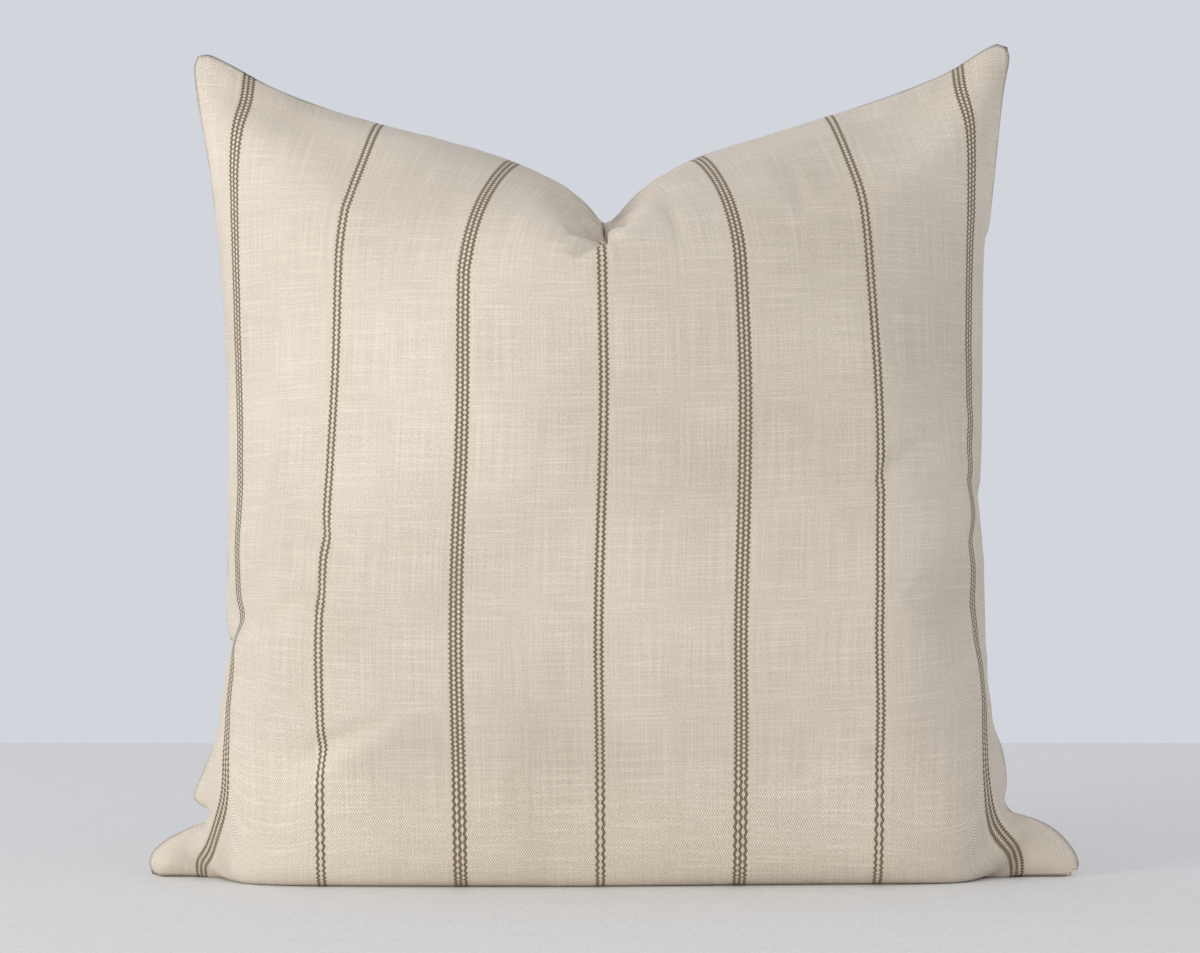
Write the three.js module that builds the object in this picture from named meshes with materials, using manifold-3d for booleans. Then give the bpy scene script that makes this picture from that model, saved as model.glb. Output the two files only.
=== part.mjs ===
// A 20 inch (508 mm) square throw pillow that stands on its zipped lower edge: a two-panel knife-edge cover with
// an invisible zipper, over a feather insert. Units are millimetres, +Z is up, +X runs along the zipper and the
// striped front panel faces -Y. The origin is on the surface that the pillow stands on, under its middle.
import * as THREE from "three";
import { mergeVertices } from "three/addons/utils/BufferGeometryUtils.js";
import Module from "manifold-3d";

const wasm = await Module();
wasm.setup();

// Sizes of the plumped cover. Widths and depths are halves, measured from the pillow's middle.
const WAIST = 207; // half width where the sides pull in
const HIP = 222; // half width just above the lower corners
const SHOULDER = 221; // half width at the upper corner tips
const EAR = 30; // how far a lower corner tip stands out past the hip
const CORNER_HEIGHT = 455; // upper corner tips
const CHOP_HEIGHT = 360; // bottom of the dent pressed into the top edge
const CHOP_CURVE = 0.58; // how steeply the top edge climbs out of the dent
const BULGE = 110; // half thickness at the fullest place
const HEEL = 58; // half depth of the band that lies flat on the surface
const TIP_HEIGHT = 4; // height of a lower corner tip's seam

// The zipper in the lower seam.
const SLIT = 1; // half width of the gap between the two panels along the zipper
const SEAM_GAP = 0.15; // half gap between the panels where they are sewn together
const TAPE = { half: 186, inner: 1, outer: 14, bottom: 7.6, thickness: 0.6 };
const COIL = { half: 166, radius: 0.9, offset: 1.7, height: 9.6, sides: 10 };
const STOP = { start: 166.3, length: 3, inner: 0.7, outer: 2.8, bottom: 8.5, height: 2.5 };
const SLIDER = { at: 158, length: 12, outer: 4.2, channel: 3, bottom: 8.6, plate: 11.1, top: 12.3 };
const LUG = { thickness: 1, length: 8, pin: 3.4, hole: 1.1, radius: 1.9 };
const TAB = { length: 21, width: 5.4, thickness: 1.1, pin: 0.8, cheek: 1.6, gap: 0.3, tilt: 7 };

// Each layer is one skin of the pillow, from the outside of the cover to the outside of the filling.
// inset narrows the outline, round softens its four corners, and depth is taken off the half thickness.
const LAYERS = {
  coverOuter: { inset: 0, round: 0, ear: EAR, depth: 0, floor: 0, ceiling: 6, flat: 8, foot: 13 },
  coverInner: { inset: 3, round: 5, ear: 0, depth: 1.3, floor: 1.4, ceiling: 7.3, flat: 15.5, foot: 19 },
  coverThread: { inset: 5.5, round: 8, ear: 0, depth: 2, floor: 2, ceiling: 10, flat: 16, foot: 20 },
  ticking: { inset: 8.5, round: 12, ear: 0, depth: 2.8, floor: 3, ceiling: 13.2, flat: 16, foot: 22 },
  tickingInner: { inset: 12, round: 15, ear: 0, depth: 3.7, floor: 4, ceiling: 14.3, flat: 17, foot: 23 },
  tickingThread: { inset: 14, round: 17, ear: 0, depth: 4.5, floor: 4.6, ceiling: 15, flat: 17.5, foot: 23.5 },
  filling: { inset: 16.5, round: 20, ear: 0, depth: 5, floor: 5.2, ceiling: 15.6, flat: 18, foot: 24 },
};

// Columns run across half a panel and rows from the zipper seam up to the top seam.
const HALF_COLUMNS = [0, 0.03, 0.08, 0.16, 0.28, 0.42, 0.56, 0.7, 0.81, 0.9, 0.95, 1];
const COLUMNS = [...HALF_COLUMNS.slice(1).map((u) => -u).reverse(), ...HALF_COLUMNS];
const FLOOR_ROWS = [0, 0.02, 0.035, 0.11]; // share of the panel's height: slit, recess edge, recess foot, heel
const RISING_ROWS = 14; // rows from the heel to the top seam
const FLAT_SHARE = 0.9; // share of the width over which the lower edge lies flat
const ROWS = FLOOR_ROWS.length - 1 + RISING_ROWS;

const clamp = (x) => Math.min(1, Math.max(0, x));
const lerp = THREE.MathUtils.lerp;

const material = (color, roughness, metalness = 0) => new THREE.MeshStandardMaterial({ color, roughness, metalness });
const striped = material(0xddd0bd, 0.95);
const plain = material(0xe8e1d2, 0.95);
const thread = material(0xe2d8c6, 0.8);
const cotton = material(0xf4f2ec, 0.9);
const feather = material(0xf1eee6, 1);
const nylon = material(0xe6dcc8, 0.45);
const enamel = material(0xe3d9c4, 0.35, 0.6);
const satin = material(0xf5f3ee, 0.5);

// Half width of a layer at a share v of the panel's height.
function halfWidth(layer, v) {
  const above = clamp((v - 0.5) / 0.5) ** 2.2;
  const below = clamp((0.5 - v) / 0.5) ** 2.5;
  const ear = clamp(1 - v / 0.07) ** 0.8;
  const corner = layer.round * (above ** 4 + below ** 6);
  return WAIST + (SHOULDER - WAIST) * above + (HIP - WAIST) * below + layer.ear * ear - layer.inset - corner;
}

// Height of a layer's top edge at a share u of the half width: high at the corners, dented in the middle.
function topEdge(layer, u) {
  const rise = Math.abs(u) ** CHOP_CURVE;
  return CHOP_HEIGHT + (CORNER_HEIGHT - CHOP_HEIGHT) * rise - layer.inset - layer.round * u ** 8;
}

// Share of the panel's height at a row.
function rowShare(row) {
  const heel = FLOOR_ROWS.length - 1;
  return row <= heel ? FLOOR_ROWS[row] : lerp(FLOOR_ROWS[heel], 1, (row - heel) / RISING_ROWS);
}

// Depth and height of one layer's cross-section at a column u and a row.
function section(layer, u, row) {
  const side = Math.abs(u);
  const seam = side < FLAT_SHARE - 0.01 && row === 0 ? SLIT : SEAM_GAP;
  const bulge = (BULGE - layer.depth) * Math.sqrt(1 - side ** 2.3);
  const heel = (HEEL - layer.depth) * Math.sqrt(1 - side ** 4);
  const taper = Math.sqrt(clamp((1 - side) / (1 - FLAT_SHARE)));
  const height = topEdge(layer, u);
  const floorRows = [
    [seam, layer.ceiling],
    [layer.flat * taper, layer.ceiling],
    [layer.foot * taper, layer.floor],
    [heel, layer.floor],
  ];
  let point = floorRows[row];
  if (!point) {
    const front = new THREE.CubicBezierCurve(
      new THREE.Vector2(heel, layer.floor),
      new THREE.Vector2(1.38 * bulge, 0.13 * height),
      new THREE.Vector2(1.08 * bulge, 0.95 * height),
      new THREE.Vector2(SEAM_GAP, height),
    );
    point = front.getPoint((row - FLOOR_ROWS.length + 1) / RISING_ROWS).toArray();
  }
  const sideSeam = lerp(TIP_HEIGHT + layer.inset, height, rowShare(row));
  const lift = clamp((side - FLAT_SHARE) / (1 - FLAT_SHARE)) ** 1.5;
  return { depth: Math.max(point[0], SEAM_GAP), height: lerp(point[1], sideSeam, lift) };
}

// One grid of points of a layer. facing is -1 for the front half of the pillow and 1 for the back half.
function grid(layer, facing) {
  return Array.from({ length: ROWS + 1 }, (_, row) =>
    COLUMNS.map((u) => {
      const { depth, height } = section(layer, u, row);
      return new THREE.Vector3(u * halfWidth(layer, rowShare(row)), facing * depth, height);
    }),
  );
}

// The points round the border of a grid, starting at its first row.
function border(points) {
  const last = points.length - 1;
  const width = points[0].length - 1;
  return [
    ...points[0],
    ...points.slice(1, last).map((row) => row[width]),
    ...points[last].slice().reverse(),
    ...points.slice(1, last).map((row) => row[0]).reverse(),
  ];
}

function addQuad(triangles, a, b, c, d, flip) {
  const quad = flip ? [a, c, b, a, d, c] : [a, b, c, a, c, d];
  triangles.push(...quad);
}

// The two triangles of each quad mirror each other about the middle column, so no corner is cut off flat.
function addGrid(triangles, points, flip) {
  for (let r = 0; r + 1 < points.length; r++) {
    for (let c = 0; c + 1 < points[r].length; c++) {
      const quad = [points[r][c], points[r][c + 1], points[r + 1][c + 1], points[r + 1][c]];
      if (c + 1 < points[r].length / 2) {
        quad.push(quad.shift());
      }
      addQuad(triangles, ...quad, flip);
    }
  }
}

function closedGeometry(triangles) {
  const positions = new THREE.Float32BufferAttribute(triangles.flatMap((p) => p.toArray()), 3);
  return mergeVertices(new THREE.BufferGeometry().setAttribute("position", positions), 1e-3);
}

// A cloth panel: an outer skin, an inner skin and the edge that joins them.
function panelGeometry(outer, inner, facing) {
  const skins = [grid(outer, facing), grid(inner, facing)];
  const flip = facing > 0;
  const triangles = [];
  addGrid(triangles, skins[0], flip);
  addGrid(triangles, skins[1], !flip);
  const [rim, hollow] = skins.map(border);
  rim.forEach((point, i) => {
    const next = (i + 1) % rim.length;
    addQuad(triangles, point, hollow[i], hollow[next], rim[next], flip);
  });
  return closedGeometry(triangles);
}

// The filling: a front and a back skin that meet in the pillow's middle plane.
function fillingGeometry(layer) {
  const front = grid(layer, -1);
  const back = grid(layer, 1);
  [front, back].forEach((skin) => border(skin).forEach((point) => (point.y = 0)));
  const triangles = [];
  addGrid(triangles, front, false);
  addGrid(triangles, back, true);
  return closedGeometry(triangles);
}

// A thread that runs up one side, along the top and down the other side, just inside a layer's seam.
function threadGeometry(layer, radius) {
  const points = grid(layer, 0);
  const left = points.slice(3, ROWS).map((row) => row[0]);
  const right = points.slice(3, ROWS).map((row) => row[row.length - 1]).reverse();
  const path = [...left, ...points[ROWS], ...right];
  const sides = 6;
  const rings = path.map((point, i) => {
    const along = path[Math.min(i + 1, path.length - 1)].clone().sub(path[Math.max(i - 1, 0)]);
    const outward = new THREE.Vector3(-along.z, 0, along.x).setLength(radius);
    return Array.from({ length: sides + 1 }, (_, k) => {
      const turn = (2 * Math.PI * (k % sides)) / sides;
      return new THREE.Vector3(0, radius * Math.sin(turn), 0).addScaledVector(outward, Math.cos(turn)).add(point);
    });
  });
  const triangles = [];
  addGrid(triangles, rings, true);
  [rings[0], rings[rings.length - 1]].forEach((ring, end) => {
    for (let k = 1; k + 1 < sides; k++) {
      triangles.push(...(end ? [ring[0], ring[k + 1], ring[k]] : [ring[0], ring[k], ring[k + 1]]));
    }
  });
  return closedGeometry(triangles);
}

function box(x0, x1, y0, y1, z0, z1) {
  return new THREE.BoxGeometry(x1 - x0, y1 - y0, z1 - z0).translate((x0 + x1) / 2, (y0 + y1) / 2, (z0 + z1) / 2);
}

function rod(radius, length, sides) {
  return new THREE.CylinderGeometry(radius, radius, length, sides);
}

function solid(geometry) {
  const bare = geometry.clone();
  bare.deleteAttribute("normal");
  bare.deleteAttribute("uv");
  const merged = mergeVertices(bare, 1e-4);
  const vertProperties = merged.attributes.position.array;
  return new wasm.Manifold(new wasm.Mesh({ numProp: 3, vertProperties, triVerts: merged.index.array }));
}

function geometryOf(manifold) {
  const mesh = manifold.getMesh();
  const positions = new THREE.BufferAttribute(mesh.vertProperties, 3);
  return new THREE.BufferGeometry().setAttribute("position", positions).setIndex([...mesh.triVerts]);
}

// Outline in the X-Y plane of the slider's plate, wide where the two coils come in.
function sliderOutline() {
  const half = SLIDER.length / 2;
  const outline = new THREE.Shape();
  outline.moveTo(-half, -SLIDER.outer + 0.9);
  outline.lineTo(-1, -SLIDER.outer);
  outline.quadraticCurveTo(half - 1, -SLIDER.outer, half, -SLIDER.outer + 1.1);
  outline.lineTo(half, SLIDER.outer - 1.1);
  outline.quadraticCurveTo(half - 1, SLIDER.outer, -1, SLIDER.outer);
  outline.lineTo(-half, SLIDER.outer - 0.9);
  return outline;
}

// The slider: a channel over both coils, and a lug that reaches out through the slit to carry the pull.
function sliderGeometry() {
  const height = SLIDER.top - SLIDER.bottom;
  const block = new THREE.ExtrudeGeometry(sliderOutline(), { depth: height, bevelEnabled: false, curveSegments: 6 });
  block.translate(0, 0, SLIDER.bottom);
  const channel = box(-20, 20, -SLIDER.channel, SLIDER.channel, 0, SLIDER.plate);
  const lug = new THREE.Shape();
  const half = LUG.length / 2;
  lug.moveTo(-half, SLIDER.plate + 0.5);
  lug.lineTo(-half, 7);
  lug.lineTo(-LUG.radius, LUG.pin);
  lug.absarc(0, LUG.pin, LUG.radius, Math.PI, 2 * Math.PI);
  lug.lineTo(half, 7);
  lug.lineTo(half, SLIDER.plate + 0.5);
  lug.holes.push(new THREE.Path().absarc(0, LUG.pin, LUG.hole, 0, 2 * Math.PI, true));
  const plate = new THREE.ExtrudeGeometry(lug, { depth: LUG.thickness, bevelEnabled: false, curveSegments: 10 });
  plate.rotateX(Math.PI / 2).translate(0, LUG.thickness / 2, 0);
  return geometryOf(solid(block).subtract(solid(channel)).add(solid(plate)));
}

// The pull tab: a flat teardrop with two cheeks and a pin through the slider's lug, along +X from the pin.
function pullTabGeometry() {
  const inner = LUG.thickness / 2 + TAB.gap;
  const cheekWidth = TAB.width / 2 - inner;
  const outline = new THREE.Shape();
  outline.moveTo(TAB.cheek + 1, -TAB.width / 2);
  outline.quadraticCurveTo(TAB.length * 0.5, -TAB.width * 0.28, TAB.length - TAB.width / 2, -TAB.width / 2);
  outline.absarc(TAB.length - TAB.width / 2, 0, TAB.width / 2, -Math.PI / 2, Math.PI / 2);
  outline.quadraticCurveTo(TAB.length * 0.5, TAB.width * 0.28, TAB.cheek + 1, TAB.width / 2);
  const options = { depth: TAB.thickness, bevelEnabled: false, curveSegments: 8 };
  let tab = solid(new THREE.ExtrudeGeometry(outline, options).translate(0, 0, -TAB.thickness / 2));
  for (const facing of [-1, 1]) {
    const middle = facing * (inner + cheekWidth / 2);
    tab = tab.add(solid(rod(TAB.cheek, cheekWidth, 16).translate(0, middle, 0)));
    const arm = box(0, TAB.cheek + 2, middle - cheekWidth / 2, middle + cheekWidth / 2, -0.55, 0.55);
    tab = tab.add(solid(arm));
  }
  return geometryOf(tab.add(solid(rod(TAB.pin, TAB.width - 1, 12))));
}

const pillow = new THREE.Group();

function add(name, geometry, look, parent = pillow) {
  const mesh = new THREE.Mesh(geometry, look);
  mesh.name = name;
  parent.add(mesh);
  return mesh;
}

function cover() {
  const { coverOuter, coverInner, coverThread } = LAYERS;
  add("cover_front_panel", panelGeometry(coverOuter, coverInner, -1), striped);
  add("cover_back_panel", panelGeometry(coverOuter, coverInner, 1), plain);
  add("cover_seam_overlock_thread", threadGeometry(coverThread, 0.9), thread);
  add("care_label", box(90, 122, 27, 48, 1.9, 2.3), satin);
}

function insert() {
  const { ticking, tickingInner, tickingThread, filling } = LAYERS;
  add("insert_front_ticking", panelGeometry(ticking, tickingInner, -1), cotton);
  add("insert_back_ticking", panelGeometry(ticking, tickingInner, 1), cotton);
  add("insert_seam_thread", threadGeometry(tickingThread, 0.5), cotton);
  add("insert_filling", fillingGeometry(filling), feather);
}

function zipper() {
  const stopEnd = STOP.start + STOP.length;
  const stopTop = STOP.bottom + STOP.height;
  for (const [side, facing] of [["front", -1], ["back", 1]]) {
    const across = [facing * TAPE.inner, facing * TAPE.outer].sort((a, b) => a - b);
    const top = TAPE.bottom + TAPE.thickness;
    add(`zipper_${side}_tape`, box(-TAPE.half, TAPE.half, ...across, TAPE.bottom, top), nylon);
    const stitches = box(-TAPE.half + 6, TAPE.half - 6, -0.25, 0.25, top + 0.3, top + 0.7);
    add(`zipper_${side}_tape_stitching`, stitches, thread).position.y = facing * 6.5;
    const coil = add(`zipper_${side}_coil`, rod(COIL.radius, 2 * COIL.half, COIL.sides), nylon);
    coil.rotation.z = Math.PI / 2;
    coil.position.set(0, facing * COIL.offset, COIL.height);
    const ends = [facing * STOP.inner, facing * STOP.outer].sort((a, b) => a - b);
    add(`zipper_${side}_top_stop`, box(STOP.start, stopEnd, ...ends, STOP.bottom, stopTop), enamel);
  }
  const bridge = box(-stopEnd, -STOP.start, -STOP.outer, STOP.outer, STOP.bottom, stopTop);
  add("zipper_bottom_stop", bridge, enamel);
  const carriage = new THREE.Group();
  carriage.position.x = SLIDER.at;
  add("zipper_slider", sliderGeometry(), enamel, carriage);
  const tab = add("zipper_pull_tab", pullTabGeometry(), enamel, carriage);
  tab.position.z = LUG.pin;
  tab.rotation.y = THREE.MathUtils.degToRad(TAB.tilt);
  pillow.add(carriage);
}

cover();
insert();
zipper();

export default pillow;
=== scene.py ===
import math

import bmesh
import bpy
import numpy as np
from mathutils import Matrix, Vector, noise
from mathutils.bvhtree import BVHTree


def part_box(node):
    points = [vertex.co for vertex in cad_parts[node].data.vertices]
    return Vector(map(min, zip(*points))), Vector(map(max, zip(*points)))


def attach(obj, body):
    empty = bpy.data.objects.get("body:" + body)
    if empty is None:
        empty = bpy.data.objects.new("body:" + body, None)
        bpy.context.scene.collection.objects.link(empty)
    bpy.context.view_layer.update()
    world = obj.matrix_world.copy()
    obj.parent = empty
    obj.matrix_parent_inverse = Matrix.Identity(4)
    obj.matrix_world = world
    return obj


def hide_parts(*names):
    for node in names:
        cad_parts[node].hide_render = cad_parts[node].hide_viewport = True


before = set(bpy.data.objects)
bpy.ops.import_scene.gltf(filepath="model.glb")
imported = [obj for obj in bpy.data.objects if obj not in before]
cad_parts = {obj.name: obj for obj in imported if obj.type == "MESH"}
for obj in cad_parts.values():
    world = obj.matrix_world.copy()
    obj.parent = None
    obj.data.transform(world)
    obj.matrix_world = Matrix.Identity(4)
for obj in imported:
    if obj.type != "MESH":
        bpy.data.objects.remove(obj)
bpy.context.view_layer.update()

# A 20 inch throw pillow, standing on its zipped lower edge. Metres, +Z up, the striped front faces -Y.

# The cut: two square panels sewn edge to edge.
HALF = 0.254  # half a panel's side
CORNER = 0.012  # the corners are sewn round by this much
SIDE_SHRINK = 0.03  # share by which the side seams are drawn up
SEAM_HEIGHT = 0.0065  # the zipped seam's height above the surface
CELLS = 84  # cells of cloth along one side of a panel
CELL = 2 * HALF / CELLS
CLOTH = 0.001  # thickness of the cover's cloth
ZIP_HALF = 0.188  # half the length over which the two panels part for the zipper

# Side seams, from the ear tip up to the shoulder.
# Each point is a half width, a height, and a share of the spare cloth that is taken up before it.
LEFT_SEAM = [
    (0.2488, 0.005, 0), (0.2508, 0.010, 0), (0.2485, 0.017, 0), (0.2400, 0.024, 0), (0.2240, 0.031, 0),
    (0.2130, 0.035, 1), (0.2260, 0.044, 1), (0.2230, 0.054, 0), (0.2135, 0.078, 0), (0.2080, 0.117, 0),
    (0.2030, 0.128, 1), (0.2080, 0.140, 1), (0.2070, 0.228, 0), (0.2100, 0.315, 0), (0.2168, 0.381, 0),
    (0.2240, 0.424, 0), (0.2260, 0.443, 0), (0.2238, 0.4492, 0),
]
RIGHT_SEAM = [
    (0.2565, 0.005, 0), (0.2585, 0.010, 0), (0.2562, 0.017, 0), (0.2500, 0.0245, 0), (0.2430, 0.030, 0),
    (0.2330, 0.0345, 0), (0.2230, 0.037, 0), (0.2170, 0.041, 1), (0.2190, 0.052, 1), (0.2170, 0.068, 0),
    (0.2110, 0.086, 1), (0.2080, 0.110, 0), (0.2060, 0.175, 0), (0.2030, 0.208, 1), (0.2050, 0.232, 1),
    (0.2062, 0.337, 0), (0.2098, 0.360, 0), (0.2165, 0.424, 0), (0.2203, 0.447, 0), (0.2190, 0.4540, 0),
]
# Top seam, from the dent out to each shoulder: x and height.
TOP_LEFT = [
    (0, 0.341), (-0.003, 0.358), (-0.018, 0.375), (-0.048, 0.391), (-0.082, 0.402), (-0.117, 0.411),
    (-0.152, 0.421), (-0.183, 0.433), (-0.205, 0.445), (-0.219, 0.4512), (-0.2238, 0.4492),
]
TOP_RIGHT = [
    (0, 0.341), (0.003, 0.358), (0.019, 0.377), (0.048, 0.394), (0.082, 0.405), (0.117, 0.416),
    (0.151, 0.427), (0.184, 0.440), (0.203, 0.4515), (0.213, 0.4568), (0.2190, 0.4540),
]
TOP_DROP = 0.001  # the top seam sinks this much between the cloth on its two sides

# The dent pressed into the top: a valley from front to back, and the two lips that close over it.
VALLEY = {"length": 0.062, "height": 0.340, "fall": 0.1, "x": -0.001}
LIPS = {"flat": 0.024, "length": 0.045, "height": 0.358, "fall": 0.15, "x": 0.003}


def smoothstep(x):
    x = np.clip(x, 0.0, 1.0)
    return x * x * (3 - 2 * x)


def deselect():
    if bpy.context.mode != "OBJECT":
        bpy.ops.object.mode_set(mode="OBJECT")
    bpy.ops.object.select_all(action="DESELECT")


# ---- The shape of the filled cover, by cloth simulation ----


def smooth_line(points, marks):
    """A smooth line through points, with the flat distances marks carried along it."""
    line, along = [], []
    steps = 8
    for n in range(len(points) - 1):
        before, here = points[max(0, n - 1)], points[n]
        there, after = points[n + 1], points[min(len(points) - 1, n + 2)]
        for k in range(steps):
            t = k / steps
            bend = (2 * here + (there - before) * t + (2 * before - 5 * here + 4 * there - after) * t * t
                    + (3 * here - before - 3 * there + after) * t ** 3)
            line.append(0.5 * bend)
            along.append(marks[n] + (marks[n + 1] - marks[n]) * t)
    return np.array(line + [points[-1]]), np.array(along + [marks[-1]])


def place_on(line, along, distance):
    return np.array([np.interp(distance, along, line[:, axis]) for axis in range(3)])


def side_line(seam, side):
    """A side seam's line, with how far up the flat cloth each of its points is."""
    points = [np.array((side * x, 0.0, z)) for x, z, _ in seam]
    lengths = [np.linalg.norm(b - a) / (1 - SIDE_SHRINK) for a, b in zip(points, points[1:])]
    ease = [e for _, _, e in seam[1:]]
    spare = (2 * HALF - sum(lengths)) / sum(ease)
    marks = np.cumsum([0.0] + [length + spare * e for length, e in zip(lengths, ease)])
    return smooth_line(points, marks)


def top_line(seam):
    """Half of the top seam's line, with how far from the middle of the flat cloth each of its points is."""
    points = [np.array((x, 0.0, z)) for x, z in seam]
    line, _ = smooth_line(points, np.zeros(len(points)))
    walked = np.concatenate([[0.0], np.cumsum(np.linalg.norm(np.diff(line, axis=0), axis=1))])
    return line - np.array((0, 0, TOP_DROP)), walked * HALF / walked[-1]


def flat_point(i, j):
    """Where a cell's corner lies on the flat cut, with the round corners and the drawn-up sides."""
    x, z = -HALF + i * CELL, -HALF + j * CELL
    a, b = (abs(x) - HALF + CORNER) / CORNER, (abs(z) - HALF + CORNER) / CORNER
    if a > 0 and b > 0:
        x = math.copysign(HALF - CORNER + CORNER * a * math.sqrt(1 - b * b / 2), x)
        z = math.copysign(HALF - CORNER + CORNER * b * math.sqrt(1 - a * a / 2), z)
    return x, z * (1 - SIDE_SHRINK * abs(x / HALF) ** 4)


def sewn_panels():
    """The two flat panels as one mesh, sewn along all four edges. Returns it and both grids' indices."""
    sewing = bmesh.new()
    grids = [{}, {}]
    crown = 0.012
    for j in range(CELLS + 1):
        for i in range(CELLS + 1):
            x, z = flat_point(i, j)
            swell = (1 - (i * CELL / HALF - 1) ** 2) * (1 - (j * CELL / HALF - 1) ** 2)
            depth = crown * math.sqrt(max(0.0, swell))
            for facing, grid in zip((-1, 1), grids):
                at_edge = i in (0, CELLS) or j in (0, CELLS)
                shared = at_edge and facing > 0
                place = (x, facing * depth, z + HALF + SEAM_HEIGHT)
                grid[i, j] = grids[0][i, j] if shared else sewing.verts.new(place)
    for j in range(CELLS):
        for i in range(CELLS):
            corners = [(i, j), (i + 1, j), (i + 1, j + 1), (i, j + 1)]
            sewing.faces.new([grids[0][c] for c in corners])
            sewing.faces.new([grids[1][c] for c in reversed(corners)])
    sewing.verts.index_update()
    indices = [{key: vert.index for key, vert in grid.items()} for grid in grids]
    mesh = bpy.data.meshes.new("sewn_panels")
    sewing.to_mesh(mesh)
    sewing.free()
    cloth = bpy.data.objects.new("sewn_panels", mesh)
    bpy.context.scene.collection.objects.link(cloth)
    return cloth, indices


def held_places(indices):
    """Where the hands, the surface and the seams hold the cloth: vertex index to place."""
    held = {}
    middle = CELLS // 2
    for i in range(CELLS + 1):
        x = -HALF + i * CELL
        lift = SEAM_HEIGHT - 0.0055 * smoothstep((abs(x) - 0.185) / 0.05)
        lift += 0.004 * (max(0.0, abs(x) - HALF + CORNER) / CORNER) ** 2
        held[indices[0][i, 0]] = (0.995 * x - 0.003 + 0.007 * (x / HALF) ** 2, 0, lift)
    for grid, facing in zip(indices, (-1, 1)):
        for n in range(int(VALLEY["length"] / CELL + 1e-6) + 1):
            depth = n * CELL
            height = VALLEY["height"] - VALLEY["fall"] * depth
            held[grid[middle, CELLS - n]] = (VALLEY["x"], facing * depth * 0.985, height)
        for side in (-1, 1):
            column = middle + side * round(LIPS["flat"] / CELL)
            for n in range(int(LIPS["length"] / CELL + 1e-6) + 1):
                depth = n * CELL
                x = VALLEY["x"] + side * LIPS["x"] * (1 + depth / LIPS["length"])
                place = (x, facing * depth * 0.985, LIPS["height"] - LIPS["fall"] * depth)
                held[grid[column, CELLS - n]] = place
    for seam, side in ((TOP_LEFT, -1), (TOP_RIGHT, 1)):
        line, along = top_line(seam)
        for n in range(middle + 1):
            held[indices[0][middle + side * n, CELLS]] = place_on(line, along, n * CELL)
    for seam, side, column in ((LEFT_SEAM, -1, 0), (RIGHT_SEAM, 1, CELLS)):
        line, along = side_line(seam, side)
        for j in range(1, CELLS + 1):
            held[indices[0][column, j]] = place_on(line, along, j * CELL)
    return held


def filling_push(cloth, indices):
    """A vertex group for where the filling pushes: not in the lower corners, and softly in the upper ones."""
    push = cloth.vertex_groups.new(name="push")
    for grid in indices:
        for (i, j), index in grid.items():
            x, z = -HALF + i * CELL, -HALF + j * CELL
            low = math.hypot(HALF - abs(x), HALF + z)
            high = math.hypot(HALF - abs(x), HALF - z)
            weight = min(max(0.0, (low - 0.035) / 0.03), max(0.15, (high - 0.01) / 0.05), 1.0)
            push.add([index], weight, "REPLACE")
    return push


def settle_cloth():
    """Blows up the sewn panels with the filling while the top is pressed in. Returns front and back grids."""
    scene = bpy.context.scene
    cloth, indices = sewn_panels()
    held = held_places(indices)
    pins = cloth.vertex_groups.new(name="held")
    pins.add(list(held), 1.0, "REPLACE")
    push = filling_push(cloth, indices)
    cloth.shape_key_add(name="Basis")
    pressed = cloth.shape_key_add(name="pressed")
    for index, place in held.items():
        pressed.data[index].co = place
    press_frames, last_frame = ((36, 56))
    for value, at in ((0.0, 1), (1.0, press_frames)):
        pressed.value = value
        pressed.keyframe_insert("value", frame=at)
    for curve in cloth.data.shape_keys.animation_data.action.fcurves:
        for key in curve.keyframe_points:
            key.interpolation = "LINEAR"

    deselect()
    bpy.ops.mesh.primitive_plane_add(size=2.0)
    table = bpy.context.object
    table.modifiers.new("surface", "COLLISION")
    table.collision.thickness_outer = 0.002
    table.collision.thickness_inner = 0.05
    table.collision.cloth_friction = 20

    simulation = cloth.modifiers.new("cloth", "CLOTH")
    settings = simulation.settings
    settings.quality = 7
    settings.mass = 0.012
    settings.air_damping = 2.0
    settings.tension_stiffness = settings.compression_stiffness = 60
    settings.shear_stiffness = 12
    settings.bending_model = "ANGULAR"
    settings.bending_stiffness = 0.25
    settings.tension_damping = settings.compression_damping = settings.shear_damping = 10
    settings.bending_damping = 1
    settings.use_pressure = True
    settings.uniform_pressure_force = 15
    settings.vertex_group_pressure = push.name
    settings.vertex_group_mass = pins.name
    settings.pin_stiffness = 30
    settings.effector_weights.gravity = 0.3
    simulation.collision_settings.distance_min = 0.002
    simulation.collision_settings.collision_quality = 2
    simulation.collision_settings.use_self_collision = False
    simulation.point_cache.frame_start = 1
    simulation.point_cache.frame_end = last_frame
    for step in range(1, last_frame + 1):
        scene.frame_set(step)
    settled = cloth.evaluated_get(bpy.context.evaluated_depsgraph_get())
    points = np.array([v.co[:] for v in settled.data.vertices])
    grids = []
    for grid in indices:
        rows = [[points[grid[i, j]] for j in range(CELLS + 1)] for i in range(CELLS + 1)]
        grids.append(np.array(rows))
    for used in (cloth, table):
        bpy.data.objects.remove(used)
    scene.frame_set(1)
    return grids


# ---- From the settled cloth to panels: grids are indexed [across, up] ----


def finer(grid):
    """Doubles a grid's rows and columns along smooth curves."""
    for _ in range(2):
        middles = (grid[:-1] + grid[1:]) / 2
        middles[1:-1] = (9 * (grid[1:-2] + grid[2:-1]) - grid[:-3] - grid[3:]) / 16
        longer = np.empty((2 * len(grid) - 1, *grid.shape[1:]))
        longer[::2] = grid
        longer[1::2] = middles
        grid = longer.swapaxes(0, 1)
    return grid


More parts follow.
